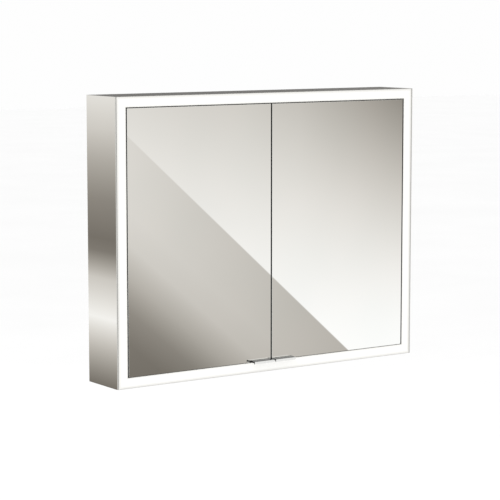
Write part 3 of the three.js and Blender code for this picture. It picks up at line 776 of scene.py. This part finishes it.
# ---- Screws -------------------------------------------------------------------------------
def screw(name, at, direction, radius, body, material=None):
    """A pan head with a cross recess, on a polar grid: the height falls from the middle as a
    circle's arc, and along two crossed bars near the middle it is sunk by a smooth ramp."""
    height = radius * 0.55
    ring = np.concatenate([np.linspace(0.08, 0.62, 9), np.linspace(0.7, 1, 6)])
    angle = np.linspace(0, 2 * math.pi, 32, endpoint=False)
    r, a = np.meshgrid(ring, angle, indexing="ij")
    bar = np.minimum(np.abs(r * np.cos(a)), np.abs(r * np.sin(a)))
    sunk = np.clip((0.17 - bar) / 0.07, 0, 1) * np.clip((0.6 - r) / 0.1, 0, 1)
    dome = np.sqrt(np.clip(1 - 0.75 * r**2, 0, 1))
    top = height * (dome - 0.5 * sunk)
    surface = np.stack([r * radius * np.cos(a), r * radius * np.sin(a), top], axis=-1)
    rim = surface[-1].copy()
    rim[:, 2] = 0
    centre = np.array([[0, 0, height * 0.5]])
    points = np.concatenate([surface.reshape(-1, 3), rim, centre])
    around = len(angle)
    middle = len(points) - 1
    faces = bands(len(ring) + 1, around)
    faces += [[middle, i, (i + 1) % around] for i in range(around)]
    faces += [list(range(len(ring) * around, len(ring) * around + around))]
    turn = Vector(direction).to_track_quat("Z", "Y").to_matrix()
    points = points @ np.array(turn).T + np.asarray(at)
    return piece(name, points, faces, (material or ZINC,), body, smooth=True)


SCREW = 2.6 * mm  # radius of a small pan head


def hinge_screws():
    """Two screws through each hinge's plate, into the side of the opening."""
    for hand, s in HANDS.items():
        for level in LEVELS:
            low, high = corners(f"hinge_bracket_{level}_{hand}")
            inner_face = (high[0] - 3 * mm) if s > 0 else (low[0] + 3 * mm)
            middle = (low[2] + high[2]) / 2
            for i, z in enumerate((middle - 8.5 * mm, middle + 8.5 * mm)):
                at = (inner_face, high[1] - 12 * mm, z)
                screw(f"hinge_screw_{level}_{hand}_{i}", at, (-s, 0, 0), SCREW, "cabinet", material=NICKEL)


def handle_screws():
    """Two screws through each handle's leg, into the door from behind."""
    FROM_END = 0.22  # of the handle's width
    for hand in HANDS:
        low, high = corners(f"door_handle_{hand}")
        aside = FROM_END * (high[0] - low[0])
        for i, x in enumerate((low[0] + aside, high[0] - aside)):
            at = (x, high[1], high[2] - 10 * mm)
            screw(f"handle_screw_{hand}_{i}", at, (0, 1, 0), SCREW, f"door_{hand}", CHROME)


def rail_screws():
    """A screw near each end of the shelf rails."""
    for hand in HANDS:
        low, high = corners(f"shelf_rail_{hand}")
        for i, z in enumerate((low[2] + 5.5 * mm, high[2] - 7 * mm)):
            at = ((low[0] + high[0]) / 2, low[1], z)
            screw(f"rail_screw_{hand}_{i}", at, (0, -1, 0), 2.2 * mm, "cabinet", material=NICKEL)


def cover_screws():
    """Four screws in the recess, through the back cover into the flange in front of it."""
    HEADS_AT = -11.9 * mm  # in the recess
    _, high = corners("back_cover")
    rail_low, rail_high = corners("hanging_rail")
    for hand, s in HANDS.items():
        for i, z in enumerate((rail_low[2] - 2 * mm, rail_high[2] - 4 * mm)):
            at = (s * (high[0] - 5 * mm), HEADS_AT, z)
            screw(f"cover_screw_{hand}_{i}", at, (0, 1, 0), SCREW, "cabinet")


def rivet(name, at, radius):
    """A domed blind rivet on a face that looks to the wall, with the pulled stem's dimple."""
    height = radius * 0.4
    angle = np.linspace(math.pi / 2, 0, 8)
    dome = np.column_stack([radius * np.cos(angle), height * np.sin(angle)])
    dimple = [(0, height * 0.55), (radius * 0.3, height * 0.6), (radius * 0.36, height * 0.97)]
    foot = [(radius, -0.2 * mm), (0, -0.2 * mm)]
    profile = np.concatenate([dimple, dome[3:], foot])
    turned(name, profile[::-1], at, "y", ZINC, "cabinet", steps=24)


def rail_rivets():
    """Six blind rivets that hold the hanging rail to the sheet of the recess."""
    COUNT = 6
    low, high = corners("hanging_rail")
    plate_rear = low[1] + 1.5 * mm
    for i in range(COUNT):
        x = low[0] + (high[0] - low[0]) * (i + 0.5) / COUNT
        rivet(f"rail_rivet_{i}", (x, plate_rear, low[2] + 9 * mm), 3 * mm)


hinge_screws()
handle_screws()
rail_screws()
cover_screws()
rail_rivets()

# ---- Studio -------------------------------------------------------------------------------
FLOOR_Z = -1.35


def emitter(name, strength=1.0):
    """An empty material that only gives off light, and its emission node."""
    material = bpy.data.materials.new(name)
    material.use_nodes = True
    material.node_tree.nodes.clear()
    light = add(material, "ShaderNodeEmission", Strength=strength)
    add(material, "ShaderNodeOutputMaterial", Surface=light.outputs["Emission"])
    return material, light


def grey(value):
    """A linear grey from an sRGB brightness of 0 to 255."""
    flat_value = value / 255
    shown = flat_value / 12.92 if flat_value <= 0.04045 else ((flat_value + 0.055) / 1.055) ** 2.4
    return (shown, shown, shown, 1.0)


def ramp(material, fac, stops, tone=grey):
    """A colour ramp through (position, brightness) stops."""
    node = add(material, "ShaderNodeValToRGB", Fac=fac)
    elements = node.color_ramp.elements
    while len(elements) < len(stops):
        elements.new(0.5)
    for element, (position, value) in zip(elements, stops):
        element.position = position
        element.color = tone(value)
    return node.outputs["Color"]


def share(value):
    """A grey whose number is the sRGB brightness itself over 255, for sums before warm()."""
    return (value / 255,) * 3 + (1.0,)


def warm(material, value):
    """The linear colour of an sRGB brightness from 0 to 1, a warm grey: each channel is shifted by
    its own small amount, which fades away towards white, and raised to the power of 2.2."""
    RED, GREEN, BLUE = 5 / 255, 0.0, -7 / 255
    fade = calculate(material, "SUBTRACT", 1.0, calculate(material, "POWER", value, 6.0))
    made = add(material, "ShaderNodeCombineColor")
    for i, shift in enumerate((RED, GREEN, BLUE)):
        channel = calculate(material, "ADD", value, calculate(material, "MULTIPLY", fade, shift))
        link(material, calculate(material, "POWER", channel, 2.2), made.inputs[i])
    return made.outputs["Color"]


def card(name, points, corners_uv, material):
    """A flat card of the studio with four corners, which only reflections show."""
    data = bpy.data.meshes.new(name)
    data.from_pydata(points.tolist(), [], [(0, 1, 2, 3)])
    data.uv_layers.new(name="UVMap").data.foreach_set("uv", corners_uv.ravel())
    data.materials.append(material)
    made = bpy.data.objects.new(name, data)
    made.visible_camera = False
    made.visible_diffuse = False
    made.visible_shadow = False
    scene.collection.objects.link(made)


def card_seen_in(name, axis, plane, far, low, high, material):
    """A flat card that the camera sees filling a mirror. The camera's mirror image looks through
    the mirror's rectangle from low to high, and the card is that rectangle's shadow on the plane at
    far. Its UV map runs from 0 to 1 over the mirror, and on past it by MARGIN."""
    MARGIN = 0.12
    image = np.array(CAMERA_AT)
    image[axis] = 2 * plane - image[axis]
    others = [i for i in range(3) if i != axis]
    corners_uv = np.array([(0, 0), (1, 0), (1, 1), (0, 1)]) * (1 + 2 * MARGIN) - MARGIN
    point = np.full((4, 3), plane)
    point[:, others] = low + corners_uv * (high - low)
    points = image + (point - image) * (far - image[axis]) / (plane - image[axis])
    card(name, points, corners_uv, material)


def door_card():
    """What the doors reflect: a light wall that falls off towards its upper right, and a nearer
    one, dark at its lower left, that covers it below a straight slanting edge."""
    material, light = emitter("door_card", 1.09)
    uv = add(material, "ShaderNodeSeparateXYZ", Vector=add(material, "ShaderNodeTexCoord").outputs["UV"])
    across, up = uv.outputs["X"], uv.outputs["Y"]
    dark = ramp(material, across, [(0, 36), (0.2, 44), (0.4, 50), (0.6, 62), (0.8, 84), (1, 112)], share)
    height = calculate(material, "POWER", calculate(material, "MAXIMUM", up, 0.0), 1.6)
    wall = calculate(material, "SUBTRACT", 1.0, calculate(material, "MULTIPLY", dark, height))
    sweep = calculate(material, "ADD", up, calculate(material, "MULTIPLY", across, 1.1))
    stops = [(0, 112), (0.125, 118), (0.25, 139), (0.375, 178), (0.5, 207)]
    stops += [(0.625, 214), (0.75, 215), (1, 214)]
    fall = calculate(material, "MULTIPLY", across, 47 / 255)
    near = calculate(material, "SUBTRACT", ramp(material, sweep, stops, share), fall)
    edge = calculate(material, "ADD", up, calculate(material, "MULTIPLY", across, 1.134))
    above = between(material, edge, 0, 1, 0.896, 0.902)
    link(material, mixed(material, above, warm(material, near), warm(material, wall)), light.inputs["Color"])
    low, _ = corners("door_mirror_left")
    _, high = corners("door_mirror_right")
    card_seen_in("card_doors", 1, low[1], -2.6, low[[0, 2]], high[[0, 2]], material)


def side_card():
    """What the left side reflects: bands of light and shade one above the other."""
    material, light = emitter("side_card", 1.15)
    uv = add(material, "ShaderNodeSeparateXYZ", Vector=add(material, "ShaderNodeTexCoord").outputs["UV"])
    stops = [(0.0, 110), (0.062, 143), (0.132, 180), (0.237, 237), (0.375, 194), (0.47, 118), (0.513, 110),
             (0.649, 131), (0.786, 167), (0.887, 197), (1.0, 219)]
    link(material, warm(material, ramp(material, uv.outputs["Y"], stops, share)), light.inputs["Color"])
    low, high = corners("side_mirror_left")
    card_seen_in("card_side", 0, low[0], -1.9, low[[1, 2]], high[[1, 2]], material)


def handle_flag():
    """A grey card above the doors' one. The tops of the handles see it by way of the door glass,
    darker towards their front edge, which slopes and so looks higher."""
    FAR, LEFT, RIGHT, LOW, HIGH = -2.6, 0.7, 3.0, 0.32, 2.4
    material, light = emitter("handle_flag")
    uv = add(material, "ShaderNodeSeparateXYZ", Vector=add(material, "ShaderNodeTexCoord").outputs["UV"])
    shade = ramp(material, uv.outputs["Y"], [(0.0, 160), (0.1, 152), (0.3, 140), (1.0, 150)])
    link(material, shade, light.inputs["Color"])
    points = np.array([(LEFT, FAR, LOW), (RIGHT, FAR, LOW), (RIGHT, FAR, HIGH), (LEFT, FAR, HIGH)])
    card("card_handles", points, rectangle((0, 0), (1, 1)), material)


def make_floor():
    """A plain pale floor, a good way below the cabinet, that isn't seen from underneath."""
    HALF = 30
    material, shader = new_material("pale_painted_floor")
    cloud = spots(material, 0.8)
    colour = mixed(material, between(material, cloud, 0, 1), linear("#fcfcfc"), linear("#fefefe"))
    link(material, colour, shader.inputs["Base Color"])
    shader.inputs["Roughness"].default_value = 0.9
    shader.inputs["Specular IOR Level"].default_value = 0.1
    clear = add(material, "ShaderNodeBsdfTransparent")
    side = add(material, "ShaderNodeNewGeometry")
    behind = side.outputs["Backfacing"]
    both = add(material, "ShaderNodeMixShader", _0=behind, _1=shader.outputs[0], _2=clear.outputs[0])
    output = material.node_tree.nodes["Material Output"]
    link(material, both.outputs[0], output.inputs["Surface"])
    data = bpy.data.meshes.new("floor")
    square = [(-HALF, -HALF, FLOOR_Z), (HALF, -HALF, FLOOR_Z), (HALF, HALF, FLOOR_Z), (-HALF, HALF, FLOOR_Z)]
    data.from_pydata(square, [], [(0, 1, 2, 3)])
    data.materials.append(material)
    floor = bpy.data.objects.new("floor", data)
    scene.collection.objects.link(floor)


def make_world():
    """White to the camera. In reflections a studio: grey near the horizon, light above."""
    STRENGTH = 1.08
    WHITE = 0.99 / STRENGTH
    world = bpy.data.worlds.new("studio")
    world.use_nodes = True
    world.node_tree.nodes.clear()
    scene.world = world
    coordinates = add(world, "ShaderNodeTexCoord")
    direction = add(world, "ShaderNodeSeparateXYZ", Vector=coordinates.outputs["Generated"])
    height = between(world, direction.outputs["Z"], 0, 1, -1, 1)
    stops = [(0.0, 215), (0.44, 225), (0.5, 196), (0.56, 215), (0.72, 246), (1, 252)]
    sky = ramp(world, height, stops)
    path = add(world, "ShaderNodeLightPath")
    seen = mixed(world, path.outputs["Is Camera Ray"], sky, (WHITE, WHITE, WHITE, 1.0))
    background = add(world, "ShaderNodeBackground", Color=seen, Strength=STRENGTH)
    add(world, "ShaderNodeOutputWorld", Surface=background.outputs["Background"])


def make_light(name, at, size, power):
    """A square soft light that faces the cabinet's middle."""
    data = bpy.data.lights.new(name, "AREA")
    data.shape = "SQUARE"
    data.size = size
    data.energy = power
    lamp = bpy.data.objects.new(name, data)
    lamp.location = at
    lamp.rotation_euler = (-Vector(at)).to_track_quat("-Z", "Y").to_euler()
    scene.collection.objects.link(lamp)


make_world()
make_floor()
door_card()
side_card()
handle_flag()
make_light("key", (-2.6, -2.4, 2.6), 1.6, 45)
make_light("fill", (2.8, 1.8, 2.2), 1.6, 12)

bpy.context.view_layer.update()
